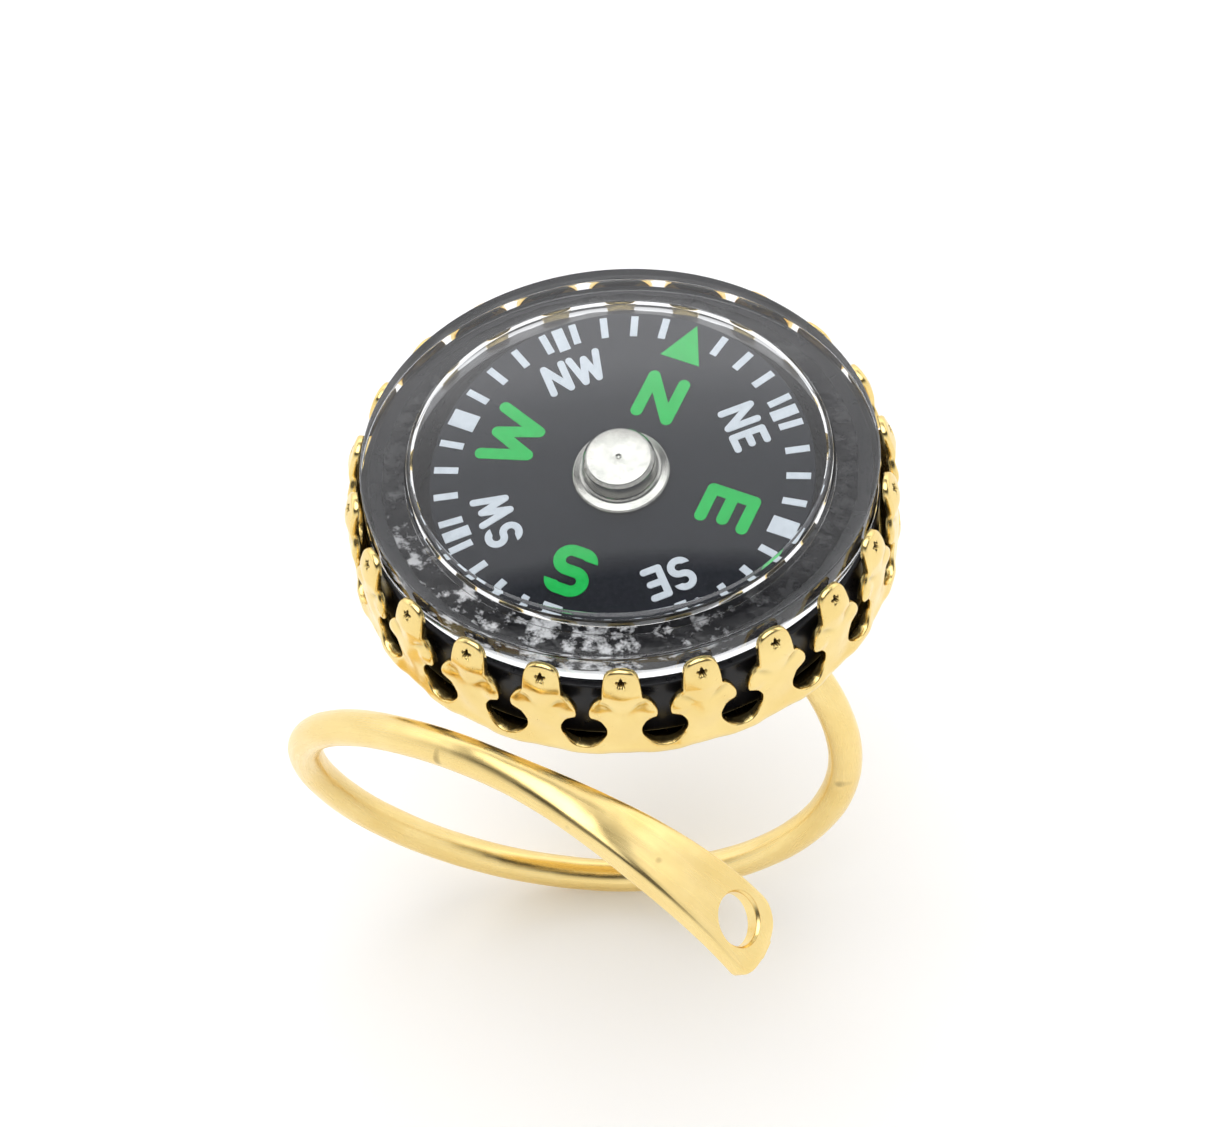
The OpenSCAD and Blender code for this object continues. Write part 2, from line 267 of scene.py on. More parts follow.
def gold(name, light, dark, roughness, grain, strand_scale=None, specks=0.0):
    """Gold plating. strand_scale draws the grain out along the wire; specks darkens small spots."""
    m = Nodes(name).set(Metallic=1.0)
    colour = m.ramp(m.noise(420, 4), [(0.3, dark), (0.7, light)])
    if specks:
        spot = m.spread(m.noise(620, 1), 0.0, specks, 0.735, 0.77)
        colour = m.blend(spot, colour, SPECK)
    # Painted shade in the recesses of the star punches and creases, from the value that the mesh carries
    recess_shade = m.tree.nodes.new("ShaderNodeAttribute")
    recess_shade.attribute_name = "recess_shade"
    m.to("Base Color", m.blend(recess_shade.outputs["Fac"], colour, RECESS_SHADE))
    source = None
    if strand_scale:
        uv = m.tree.nodes.new("ShaderNodeUVMap")
        uv.uv_map = "strand"
        source = m.scaled(uv.outputs[0], strand_scale)
    streak = m.noise(1.0 if strand_scale else 2600, 4, source=source)
    m.to("Roughness", m.spread(streak, *roughness))
    soft = m.bump(m.noise(900, 2), 0.35, 0.00002)
    m.to("Normal", m.bump(streak, grain, 0.000012, soft))
    return m.mat


def plain(name, base, dark, rough, scale=900, bump=0.15, depth=0.00001, metallic=0.0, **sockets):
    """A colour that drifts between two shades, with a fine grain in its roughness and bump."""
    m = Nodes(name).set(Metallic=metallic, **sockets)
    m.to("Base Color", m.ramp(m.noise(scale, 4), [(0.3, dark), (0.7, base)]))
    m.to("Roughness", m.spread(m.noise(scale * 2.3, 3), rough * 0.85, rough * 1.15))
    m.to("Normal", m.bump(m.noise(scale * 3.1, 3), bump, depth))
    return m.mat


def cement_with_painted_reflections():
    """Black cement under the lens, with pale patches towards -Y that are painted reflections of glints at the lens
    foot.
    """
    m = Nodes("cement")
    # Mask of the painted reflections: noisy patches, strongest towards -Y
    reflection_patch = m.spread(m.noise(1100, 6, 0.66), 0.0, 1.0, 0.50, 0.60)
    split = m.tree.nodes.new("ShaderNodeSeparateXYZ")
    m.link(m.coord, split.inputs[0])
    near = m.spread(split.outputs["Y"], 1.0, 0.04, -0.0080, -0.0040)
    both = m.tree.nodes.new("ShaderNodeMath")
    both.operation = "MULTIPLY"
    m.link(reflection_patch, both.inputs[0])
    m.link(near, both.inputs[1])
    base = m.ramp(m.noise(1200, 4), [(0.3, (0.004, 0.004, 0.005)), (0.7, (0.010, 0.010, 0.012))])
    # Near-white painted into the cement's colour as reflections
    painted_reflection_white = (0.75, 0.76, 0.78)
    m.to("Base Color", m.blend(both.outputs[0], base, painted_reflection_white))
    m.to("Roughness", m.spread(m.noise(2600, 3), 0.08, 0.22))
    m.to("Normal", m.bump(m.noise(1500, 4), 0.6, 0.00005))
    return m.mat


MATERIALS = {
    "gold_wire": gold("gold_wire", (0.93, 0.73, 0.33), (0.87, 0.65, 0.25), (0.20, 0.34), 0.22,
                      strand_scale=(26, 420, 1), specks=0.45),
    "gold_sheet": gold("gold_sheet", (0.92, 0.72, 0.31), (0.86, 0.64, 0.24), (0.15, 0.28), 0.20),
    "solder": plain("solder", (0.62, 0.60, 0.55), (0.48, 0.46, 0.42), 0.32, 1400, 0.4, 0.00003, 1.0),
    "adhesive": plain("adhesive", (0.70, 0.69, 0.62), (0.60, 0.59, 0.52), 0.4),
    "black_case": plain("black_case", (0.010, 0.010, 0.012), (0.005, 0.005, 0.007), 0.30, 700, 0.10,
                        Specular_IOR_Level=0.25),
    "cement": cement_with_painted_reflections(),
    "pin_steel": plain("pin_steel", (0.62, 0.62, 0.64), (0.50, 0.50, 0.52), 0.2, 2500, 0.1, 0.000005, 1.0),
    "card": plain("card", (0.016, 0.018, 0.025), (0.010, 0.012, 0.017), 0.62, 5200, 0.35,
                  Specular_IOR_Level=0.12),
    "white_ink": plain("white_ink", (0.66, 0.72, 0.78), (0.58, 0.64, 0.70), 0.5, 3600, 0.3,
                       Specular_IOR_Level=0.12),
    "green_ink": plain("green_ink", (0.012, 0.54, 0.10), (0.008, 0.46, 0.08), 0.5, 3600, 0.3,
                       Specular_IOR_Level=0.12),
    "cap_metal": plain("cap_metal", (0.53, 0.525, 0.485), (0.38, 0.38, 0.355), 0.17, 1400, 0.15,
                       metallic=1.0),
    "jewel": plain("jewel", (0.5, 0.02, 0.06), (0.35, 0.01, 0.04), 0.05, 2000, 0.02),
    "magnet": plain("magnet", (0.26, 0.26, 0.28), (0.18, 0.18, 0.20), 0.35, 1500, 0.3, metallic=1.0),
    "washer_brass": plain("washer_brass", (0.70, 0.50, 0.22), (0.58, 0.40, 0.16), 0.3, 1500, 0.2,
                          metallic=1.0),
}


def clear_plastic():
    """Clear acrylic of the lens, faintly clouded."""
    m = Nodes("clear_lens").set(Transmission_Weight=1.0, IOR=1.49)
    m.to("Base Color", m.ramp(m.noise(500, 3), [(0.3, (0.97, 0.985, 0.985)), (0.7, (1.0, 1.0, 1.0))]))
    m.to("Roughness", m.spread(m.noise(1800, 3), 0.0, 0.02))
    m.to("Normal", m.bump(m.noise(260, 2), 0.04, 0.00002))
    return m.mat


MATERIALS["clear_lens"] = clear_plastic()

for row in frame["record"]["subparts"]:
    node = frame["nodes"].get(row["node"])
    if node is not None:
        node.data.materials.clear()
        node.data.materials.append(MATERIALS[row["material_slot"]])


def paint(obj, slot):
    obj.data.materials.append(MATERIALS[slot])
    return obj


# ---------------------------------------------------------------- band

FINGER_D, WIRE_D = 16.9, 1.4
SHANK_R = (FINGER_D + WIRE_D) / 2
BAND_LEAD, BAND_FLARE = 13.95, 4.0
BAND_START, BAND_END = -16.0, 419.4
PADDLE_W, PADDLE_T, PADDLE_HOLE_AT, PADDLE_HOLE_R = 3.25, 0.65, 411.2, 1.0
SEAT_W, SEAT_T = 2.6, 1.0
# Angles between which the band opens out, moves along the finger, and is flattened at each end
OPENS, MOVES, WIDENS, NARROWS = (115, 490), (93, 403), (356, 420), (14, 34)
# The paddle's end was snipped a little askew, so one corner is rounder than the other
END_ROUND, OUTER_CORNER, INNER_CORNER = 1.25, 0.7, 1.25
# A filed end thins to this share of its thickness over this length
END_THIN, END_THIN_LENGTH = 0.78, 0.3
STRIP_EDGE = 0.17
BAND_SIDES, BAND_RINGS = 56, 620
SEAT_TOP = SHANK_R + SEAT_T / 2


def progress(a, span):
    """How far angle a is through span, eased, from 0 to 1."""
    return ease((a - span[0]) / (span[1] - span[0]))


def band_radius(a):
    return SHANK_R + BAND_FLARE * progress(a, OPENS)


def band_point(a):
    t = math.radians(a)
    r = band_radius(a)
    return Vector((r * math.sin(t), -BAND_LEAD * progress(a, MOVES), r * math.cos(t)))


def round_end(d, radius):
    """Share of the full width at distance d from an end whose corners have this radius."""
    return 1.0 if d >= radius else max(0.3, quarter_round(d / radius))


def band_section(a):
    """Half widths to either side, half thickness, and how far the wire is flattened at angle a."""
    if a > 180:
        part = progress(a, WIDENS)
        w, t = mix(WIRE_D, PADDLE_W, part), mix(WIRE_D, PADDLE_T, part)
    else:
        part = 1 - progress(a, NARROWS)
        w, t = mix(WIRE_D, SEAT_W, part), mix(WIRE_D, SEAT_T, part)
    to_end = math.radians(BAND_END - a) * band_radius(a)
    to_start = math.radians(a - BAND_START) * band_radius(a)
    start = round_end(to_start, END_ROUND)
    thin = mix(END_THIN, 1.0, ease(min(to_end, to_start) / END_THIN_LENGTH))
    return (w / 2 * start * round_end(to_end, OUTER_CORNER),
            w / 2 * start * round_end(to_end, INNER_CORNER), t / 2 * thin, part)


def section_point(t, half_w, half_t, part):
    """Point at turn t round the section: how far to the side and how far out of the face.

    The section is an ellipse where part is 0, and a strip with rounded edges where it is 1.
    """
    c, s = math.cos(t), math.sin(t)
    edge = min(STRIP_EDGE, half_t * 0.8, half_w * 0.8)
    turn = math.atan2(abs(s), abs(c)) / (math.pi / 2)
    # The first half of a quarter turn is the flat face, then comes the rounded edge, then the side
    if turn < 0.5:
        x, y = (half_w - edge) * turn / 0.5, half_t
    elif turn < 0.88:
        bend = (turn - 0.5) / 0.38 * math.pi / 2
        x, y = half_w - edge + edge * math.sin(bend), half_t - edge + edge * math.cos(bend)
    else:
        x, y = half_w, (half_t - edge) * (1 - turn) / 0.12
    flat = ease(part * 1.25)
    return (mix(half_w * abs(s), x, flat) * math.copysign(1, s),
            mix(half_t * abs(c), y, flat) * math.copysign(1, c))


def drill_paddle(obj):
    """Drills the paddle, in mm, with a hole whose two edges are eased, and scales the band to metres."""
    half, lip = PADDLE_T / 2, PADDLE_HOLE_R + 0.09
    hole = fillet([(0, -2.0, 0), (1.6, -2.0, 0), (lip, -half, 0.06),
                   (PADDLE_HOLE_R, -0.22, 0.1), (PADDLE_HOLE_R, 0.22, 0.1),
                   (lip, half, 0.06), (1.6, 2.0, 0), (0, 2.0, 0)])
    at = (Matrix.Translation(band_point(PADDLE_HOLE_AT))
          @ Matrix.Rotation(math.radians(PADDLE_HOLE_AT), 4, "Y") @ Matrix.Scale(1 / MM, 4))
    drill = lathe("drill", hole, 96, at)
    cut = obj.modifiers.new("hole", "BOOLEAN")
    cut.operation, cut.solver, cut.object = "DIFFERENCE", "EXACT", drill
    bpy.context.view_layer.update()
    made = bpy.data.meshes.new_from_object(obj.evaluated_get(bpy.context.evaluated_depsgraph_get()))
    obj.modifiers.clear()
    obj.data = made
    bpy.data.objects.remove(drill)
    bm = bmesh.new()
    bm.from_mesh(obj.data)
    bmesh.ops.scale(bm, vec=(MM, MM, MM), verts=bm.verts)
    limit = math.radians(SHARP_DEG)
    for edge in bm.edges:
        edge.smooth = not (len(edge.link_faces) == 2 and edge.calc_face_angle(0) > limit)
    bm.to_mesh(obj.data)
    bm.free()


def build_band():
    bm = bmesh.new()
    uv = bm.loops.layers.uv.new("strand")
    tip_turn = math.degrees(INNER_CORNER / band_radius(BAND_END))
    start_turn = math.degrees(END_ROUND / band_radius(BAND_START))
    near = [0.0, 0.02, 0.06, 0.12, 0.2, 0.3, 0.42, 0.55, 0.7, 0.85]
    angles = [BAND_START + f * start_turn for f in near]
    first, last = BAND_START + start_turn, BAND_END - tip_turn
    angles += [mix(first, last, i / BAND_RINGS) for i in range(BAND_RINGS + 1)]
    angles += [BAND_END - f * tip_turn for f in reversed(near)]
    grid = []
    for a in angles:
        out0 = Vector((math.sin(math.radians(a)), 0, math.cos(math.radians(a))))
        along = (band_point(a + 0.5) - band_point(a - 0.5)).normalized()
        out = (out0 - along * out0.dot(along)).normalized()
        side = along.cross(out)
        outer_w, inner_w, half_t, part = band_section(a)
        centre = band_point(a)
        ring = []
        for k in range(BAND_SIDES):
            t = 2 * math.pi * k / BAND_SIDES
            x, y = section_point(t, outer_w if k < BAND_SIDES / 2 else inner_w, half_t, part)
            p = centre + out * y + side * x
            # Slight unevenness of wire that was bent by hand
            soft = noise.noise(p * 0.55) * 0.022 + noise.noise(p * 1.9) * 0.006
            p += out * soft * math.cos(t) + side * soft * 0.6 * math.sin(t)
            if a < 90 and p.z > SEAT_TOP:
                p.z = SEAT_TOP
            ring.append(bm.verts.new(p))
        grid.append(ring)
    length = 0.0
    for i in range(len(grid) - 1):
        step = (band_point(angles[i + 1]) - band_point(angles[i])).length
        for k in range(BAND_SIDES):
            n = (k + 1) % BAND_SIDES
            face = bm.faces.new((grid[i][k], grid[i + 1][k], grid[i + 1][n], grid[i][n]))
            u = [length, length + step, length + step, length]
            v = [k, k, k + 1, k + 1]
            for loop, x, y in zip(face.loops, u, v):
                loop[uv].uv = (x / 100, y / BAND_SIDES * 0.05)
        length += step
    bm.faces.new(grid[0])
    bm.faces.new(list(reversed(grid[-1])))
    obj = finish_mesh("ring_band_wire", bm)
    drill_paddle(obj)
    return obj


band = paint(build_band(), "gold_wire")
place(band, "root", "ring_band")

# ---------------------------------------------------------------- crown cup

SHEET = 0.35
CROWN_H = 4.9
POINTS = 22
CUP_BASE = height("crown_setting", 0)
CUP_R = 10.7
CUP_WALL_R = CUP_R - SHEET / 2
HALF_PITCH = math.pi * CUP_WALL_R / POINTS
BEND = 0.7
HOLE_DOWN, HOLE_R = 3.17, 0.85
CROWN_PHASE = 22.6
STAR_DOWN, STAR_DEPTH, STAR_R, STAR_RAY = 0.46, 0.26, 0.175, 0.045
# Middle of a crease, the direction it runs in, and how wide, long and deep it is
CREASE_X, CREASE_D, CREASE_COS, CREASE_SIN = 0.62, 1.62, 0.62, 0.78
CREASE_W, CREASE_L, CREASE_DEPTH = 0.10, 0.32, 0.05
FOOT_SWELL = 0.11
TIP_LEAN, LEAN_H = 0.3, 1.2
CASE_CLEAR_R = 10.06
# Humps of a point's face: height, distance from the middle, depth below the tip, and half sizes
HUMPS = [(0.13, 0.0, 0.95, 0.85, 1.05), (0.10, 0.98, 2.08, 0.52, 0.55), (0.10, 0.0, 2.55, 0.95, 1.3)]
# Where the lobe's edge runs into the hole: distance from the hole's middle line, and depth
MEET_IN, MEET_DOWN = 0.265, 2.362
# One side of a point, from its tip: distance from the middle and depth below the tip
SIDE = [(0.0, 0.0), (0.25, 0.03), (0.48, 0.12), (0.64, 0.32), (0.71, 0.6), (0.75, 1.0), (0.79, 1.3),
        (HALF_PITCH - 0.44, 1.58), (HALF_PITCH - 0.26, 1.9), (HALF_PITCH - 0.22, 2.2),
        (HALF_PITCH - MEET_IN, MEET_DOWN)]
# Mesh of one point: columns along its foot, grid pitch, and the finer rings round the star
FOOT_CELLS, GRID_PITCH, STAR_RINGS, STAR_RING_PITCH, STAR_GRID_R = 24, 0.075, 7, 0.03, 0.24
# Distances from the cut edge of the rows that carry its rounding
EDGE_ROWS = (0.014, 0.035, 0.065, 0.1)
BOTTOM_D = CROWN_H - BEND


def catmull(points, steps):
    """A smooth curve through the points, with this many steps between each two."""
    out = []
    for i in range(len(points) - 1):
        p0, p1 = points[max(0, i - 1)], points[i]
        p2, p3 = points[i + 1], points[min(len(points) - 1, i + 2)]
        for k in range(steps):
            t = k / steps
            out.append(tuple(
                0.5 * (2 * b + (c - a) * t + (2 * a - 5 * b + 4 * c - d) * t * t
                       + (3 * b - a - 3 * c + d) * t ** 3)
                for a, b, c, d in zip(p0, p1, p2, p3)))
    out.append(points[-1])
    return out


def unit_outline():
    """Half outline of one point of the crown, from its tip down the lobe and round the hole."""
    half = catmull(SIDE, 6)
    start = math.atan2(HOLE_DOWN - MEET_DOWN, MEET_IN)
    for k in range(1, 25):
        a = mix(start, -math.pi / 2, k / 24)
        half.append((HALF_PITCH - HOLE_R * math.cos(a), HOLE_DOWN - HOLE_R * math.sin(a)))
    return half


def crease(x, d):
    """The crease between the head and each side lobe, 1 along its middle."""
    across = (x - CREASE_X) * CREASE_COS + (d - CREASE_D) * CREASE_SIN
    along = (x - CREASE_X) * CREASE_SIN - (d - CREASE_D) * CREASE_COS
    return math.exp(-(across / CREASE_W) ** 2) * math.exp(-(along / CREASE_L) ** 2)


def star(u, d):
    """The small star-shaped punch mark below the tip, 1 at its middle."""
    px, py = u, d - STAR_DOWN
    q = math.hypot(px, py) / (STAR_R + STAR_RAY * math.cos(5 * math.atan2(px, -py)))
    return max(0.0, 1 - q ** 3)


def swell(x):
    """How far the foot of the wall bulges at x from the middle of a point, most below each hole."""
    return FOOT_SWELL * ease(0.5 + 0.7 * math.cos(math.pi * (1 - x / HALF_PITCH)))


def relief(u, d, edge):
    """How far the stamped face stands out at distance u from the middle and depth d below the tip."""
    x = abs(u)
    h = 0.0
    for top, across, down, half_x, half_d in HUMPS:
        h += top * bump2(x - across, d - down, half_x, half_d)
    h -= CREASE_DEPTH * crease(x, d)
    h -= STAR_DEPTH * star(u, d)
    # The tip is pressed in against the compass
    if d < LEAN_H:
        h -= TIP_LEAN * ((LEAN_H - d) / LEAN_H) ** 1.3
    # Rounded edge of the cut, crisper round the pierced holes
    soft = mix(0.10, 0.045, ease((d - 2.2) / 0.4))
    if edge < soft:
        h -= soft * (1 - quarter_round(edge / soft))
    return h


def point_mesh():
    """Flat mesh of one point: vertices, their distance from the cut edge, faces and cut edges."""
    half = unit_outline()
    web = [(HALF_PITCH, d) for d in (4.03, 4.12)]
    left = [(-x, d) for x, d in half]
    right = [(x, d) for x, d in half]
    foot = [(mix(-HALF_PITCH, HALF_PITCH, k / FOOT_CELLS), BOTTOM_D) for k in range(FOOT_CELLS + 1)]
    loop = (left + [(-x, d) for x, d in web] + foot
            + list(reversed(web)) + list(reversed(right))[:-1])

    def edge_distance(p):
        best = 9.0
        for seg in (left, right):
            for a, b in zip(seg, seg[1:]):
                va, vb = Vector(a), Vector(b)
                ab = vb - va
                t = min(1.0, max(0.0, (p - va).dot(ab) / ab.length_squared))
                best = min(best, (p - va - ab * t).length)
        return best

    def inside(p):
        hit = False
        n = len(loop)
        for i in range(n):
            (x1, y1), (x2, y2) = loop[i], loop[(i + 1) % n]
            if (y1 > p.y) != (y2 > p.y) and p.x < (x2 - x1) * (p.y - y1) / (y2 - y1) + x1:
                hit = not hit
        return hit

    def clear_of_border(p):
        return (inside(p) and p.y < BOTTOM_D - 0.04 and abs(p.x) < HALF_PITCH - 0.04
                and edge_distance(p) > 0.03)

    # A coarse grid over the face, left open round the star, and a finer round one on it
    star_at = Vector((0, STAR_DOWN))
    columns = int(HALF_PITCH / GRID_PITCH) + 1
    grid = [Vector(((i + 0.5 * (j % 2)) * GRID_PITCH, (j + 0.4) * GRID_PITCH))
            for j in range(int(BOTTOM_D / GRID_PITCH) + 1) for i in range(-columns, columns + 1)]
    grid = [p for p in grid if (p - star_at).length >= STAR_GRID_R]
    for ring in range(1, STAR_RINGS + 1):
        r = STAR_RING_PITCH * ring
        for k in range(ring * 6):
            a = 2 * math.pi * k / (ring * 6)
            grid.append(Vector((r * math.sin(a), STAR_DOWN - r * math.cos(a))))
    kept = [p for p in grid if clear_of_border(p)]
    for inset in EDGE_ROWS:
        for seg, sign in ((left, -1), (right, 1)):
            for i in range(1, len(seg) - 1):
                tangent = Vector(seg[i + 1]) - Vector(seg[i - 1])
                normal = Vector((tangent.y, -tangent.x)).normalized() * sign
                p = Vector(seg[i]) - normal * inset
                if (inside(p) and abs(edge_distance(p) - inset) < 0.004 and p.y < BOTTOM_D - 0.03
                        and abs(p.x) < HALF_PITCH - 0.02):
                    kept.append(p)
    verts, _, faces, _, _, _ = delaunay_2d_cdt(
        [Vector(p) for p in loop] + kept, [], [list(range(len(loop)))], 1, 1e-5)
    dist = [edge_distance(p) for p in verts]

    # The cut edges are the border, without the sides below the holes, where points join
    sides = {(a, b) for face in faces for a, b in zip(face, list(face[1:]) + [face[0]])}
    joined = [abs(abs(p.x) - HALF_PITCH) < 1e-5 and p.y > HOLE_DOWN for p in verts]
    cut = [(a, b) for face in faces for a, b in zip(face, list(face[1:]) + [face[0]])
           if (b, a) not in sides and dist[a] < 1e-4 and dist[b] < 1e-4 and not (joined[a] and joined[b])]
    return verts, dist, faces, cut


def add_points(bm):
    """Wraps the 22 points round the cup, each with its outer and inner face."""
    recess_shade = bm.verts.layers.float.new("recess_shade")
    verts, dist, faces, cut = point_mesh()

    def on_cup(a, z, r):
        return Vector((r * math.sin(a), -r * math.cos(a), z)) * MM

    for n in range(POINTS):
        turn = math.radians(CROWN_PHASE + n * 360 / POINTS)
        outer, inner = [], []
        for p, e in zip(verts, dist):
            a = turn + p.x / CUP_WALL_R
            z = CUP_BASE + CROWN_H - p.y
            vary = noise.noise(Vector((p.x * 1.1 + n * 7.3, p.y * 1.1, n * 3.1))) * 0.03
            fade = ease((BOTTOM_D - p.y) / 0.25)
            foot = swell(abs(p.x)) * ease((p.y - 3.4) / (BOTTOM_D - 3.5))
            h = (relief(p.x, p.y, e) + vary) * fade + foot
            # The inner face follows the outer one, but without the star, and stays off the case
            back = (relief(p.x, p.y, 1.0) + STAR_DEPTH * star(p.x, p.y)) * fade * 0.8
            if e < 0.05:
                back += 0.05 * (1 - quarter_round(e / 0.05))
            back = min(0.0, back) + max(0.0, back) * 0.8
            outer.append(bm.verts.new(on_cup(a, z, CUP_R + h - 0.03 * fade)))
            # Painted shade: the star punches and creases are darkened in their recesses
            outer[-1][recess_shade] = min(1.0, 1.6 * star(p.x, p.y) + 0.25 * crease(abs(p.x), p.y))
            inner.append(bm.verts.new(on_cup(a, z, max(CASE_CLEAR_R, CUP_R - SHEET + back))))
        for f in faces:
            bm.faces.new([outer[i] for i in f])
            bm.faces.new([inner[i] for i in reversed(f)])
        for a, b in cut:
            bm.faces.new((outer[b], outer[a], inner[a], inner[b]))


def add_bottom(bm):
    """Rounded foot of the wall and the flat bottom, inside and out."""
    count = POINTS * FOOT_CELLS
    start = math.radians(CROWN_PHASE) - HALF_PITCH / CUP_WALL_R
    outside, inside = [], []
    for k in range(9):
        c, s = math.cos(math.pi / 2 * k / 8), math.sin(math.pi / 2 * k / 8)
        outside.append((CUP_R - BEND + BEND * c, CUP_BASE + BEND - BEND * s))
        inside.append((CUP_R - BEND + (BEND - SHEET) * c, CUP_BASE + BEND - (BEND - SHEET) * s))
    for r in (9.2, 8.4, 7.2, 5.6, 3.8, 2.0, 0.8):
        outside.append((r, CUP_BASE))
        inside.append((r, CUP_BASE + SHEET))
    for rows in (outside, inside):
        previous = None
        for r, z in rows:
            ring = []
            for k in range(count):
                a = start + 2 * math.pi * k / count
                bulge = 0.0
                if rows is outside and z > CUP_BASE + 0.02:
                    x = abs(k % FOOT_CELLS - FOOT_CELLS / 2) / (FOOT_CELLS / 2) * HALF_PITCH
                    bulge = swell(x) * math.cos(math.pi / 2 * min(1.0, (CUP_BASE + BEND - z) / BEND))
                ring.append(bm.verts.new((Vector((math.sin(a), -math.cos(a), 0)) * (r + bulge)
                                          + Vector((0, 0, z))) * MM))
            if previous:
                for k in range(count):
                    q = (k + 1) % count
                    bm.faces.new((previous[k], previous[q], ring[q], ring[k]))
            previous = ring
        hub = bm.verts.new(Vector((0, 0, rows[-1][1])) * MM)
        for k in range(count):
            bm.faces.new((previous[k], previous[(k + 1) % count], hub))


def build_crown():
    bm = bmesh.new()
    add_points(bm)
    add_bottom(bm)
    bmesh.ops.remove_doubles(bm, verts=bm.verts, dist=0.000002)
    return finish_mesh("crown_cup", bm, 48)


crown = paint(build_crown(), "gold_sheet")
place(crown, "root", "crown_setting")

# ---------------------------------------------------------------- solder

SOLDER_Z = height("solder_joint", 0)


def solder_wobble(r, z, a):
    """The solder's edge is a little uneven."""
    return r * (1 + 0.05 * math.sin(3 * a + 0.6) + 0.03 * math.sin(7 * a)), z


solder = paint(lathe("solder_fillet", fillet([
    (0, SOLDER_Z, 0), (1.22, SOLDER_Z, 0.01), (1.06, SOLDER_Z + 0.06, 0.1), (1.02, SOLDER_Z + 0.16, 0.12),
    (1.3, SOLDER_Z + 0.26, 0.1), (1.62, SOLDER_Z + 0.3, 0.01), (0, SOLDER_Z + 0.3, 0)]), 96,
    wobble=solder_wobble), "solder")
place(solder, "root", "solder_joint")

# ---------------------------------------------------------------- compass capsule

CASE_R = 10.0
CHAMBER_R = 8.3
LEDGE_DOWN, LEDGE_STEP = 0.4, 0.3
CEMENT_W = 0.9
CASE_Z = height("compass_case", 0)
SHOULDER = height("compass_case", 1)
FLOOR_Z = CASE_Z + 0.85
BOSS_TOP = FLOOR_Z + 0.85

case = paint(lathe("compass_case_shell", fillet([
    (0, CASE_Z, 0), (9.95, CASE_Z, 0.3), (CASE_R, SHOULDER - LEDGE_DOWN, 0.07),
    (CASE_R - LEDGE_STEP, SHOULDER - LEDGE_DOWN, 0.03), (CASE_R - LEDGE_STEP, SHOULDER, 0.03),
    (CHAMBER_R, SHOULDER, 0.03), (CHAMBER_R, FLOOR_Z, 0.25),
    (1.3, FLOOR_Z, 0.15), (1.1, BOSS_TOP, 0.1), (0.3, BOSS_TOP, 0.05),
    (0.3, FLOOR_Z - 0.4, 0.01), (0, FLOOR_Z - 0.4, 0)], 6), 360), "black_case")
place(case, "root", "compass_case")

LENS_FOOT = height("compass_lens", 0)
RIM_Z = LENS_FOOT + 1.3
WINDOW_R, WINDOW_INNER_R = 8.2, 8.0
WINDOW_RISE, WINDOW_CROWN, WINDOW_T, WINDOW_BEVEL = 0.18, 0.22, 0.3, 0.17
WINDOW_EDGE_Z = RIM_Z + WINDOW_RISE


def dome(edge_r, base, top_r, steps=18):
    """Profile of the window's dome from its middle out to top_r, at height base where r is edge_r."""
    return [(top_r * k / steps, base + WINDOW_CROWN * (1 - (top_r * k / steps / edge_r) ** 2))
            for k in range(steps + 1)]


top_r = WINDOW_R - WINDOW_BEVEL
lens_top = dome(top_r, WINDOW_EDGE_Z, top_r - 0.05)
lens_body = fillet([
    (top_r - 0.05, WINDOW_EDGE_Z + 0.003, 0), (top_r, WINDOW_EDGE_Z, 0.03),
    (WINDOW_R, RIM_Z, 0.03), (CASE_R, RIM_Z, 0.08), (CASE_R, LENS_FOOT, 0.05),
    (CHAMBER_R, LENS_FOOT, 0.02), (CHAMBER_R, RIM_Z - 0.5, 0.1), (CHAMBER_R - 0.1, RIM_Z - 0.3, 0.1),
    (WINDOW_INNER_R, WINDOW_EDGE_Z - WINDOW_T, 0)], 6)
lens_under = list(reversed(dome(WINDOW_INNER_R, WINDOW_EDGE_Z - WINDOW_T, WINDOW_INNER_R - 0.05)))
lens = paint(lathe("compass_lens_cover", lens_top + lens_body[1:-1] + lens_under, 360, sharp_deg=30),
             "clear_lens")
lens.visible_shadow = False
place(lens, "root", "compass_lens")


def cement_wobble(r, z, a):
    """The cement's outer edge runs unevenly."""
    if r > 8.6:
        r += 0.10 * noise.noise(Vector((math.cos(a) * 9, math.sin(a) * 9, 2.0)))
    return r, z


cement = paint(lathe("lens_cement_bead", fillet([
    (CHAMBER_R + 0.02, SHOULDER - 0.01, 0), (CHAMBER_R + CEMENT_W, SHOULDER - 0.01, 0),
    (CHAMBER_R + 0.87, LENS_FOOT + 0.003, 0.01), (CHAMBER_R + 0.02, LENS_FOOT + 0.003, 0)], 3), 360,
    wobble=cement_wobble, closed=True), "cement")
place(cement, "root", "lens_cement")

# ---------------------------------------------------------------- dial

TIP = Vector(record_joint["pos_m"])
AXIS = Vector(record_joint["axis"]).normalized()
ON_CARD = Matrix.Translation(TIP) @ Vector((0, 0, 1)).rotation_difference(AXIS).to_matrix().to_4x4()
# Heights on the dial are measured from the pin's tip, along the joint's axis
CARD_R, CARD_TOP, CARD_T = 7.5, -0.6, 0.25
SPIGOT_R, SPIGOT_END, JEWEL_HOLE_R = 1.1, -1.5, 0.75
CAP_R, CAP_TOP, FLANGE_R, CAP_INSIDE = 1.4, 0.63, 1.9, 0.35

card = paint(lathe("dial_card_disc", fillet([
    (SPIGOT_R, CARD_TOP - CARD_T, 0), (SPIGOT_R, CARD_TOP, 0), (1.8, CARD_TOP, 0),
    (4.0, CARD_TOP, 0), (6.0, CARD_TOP, 0), (CARD_R, CARD_TOP, 0.05), (CARD_R, CARD_TOP - CARD_T, 0.04),
    (4.0, CARD_TOP - CARD_T, 0)]), 256, ON_CARD, closed=True), "card")
place(card, "dial", "dial_card")

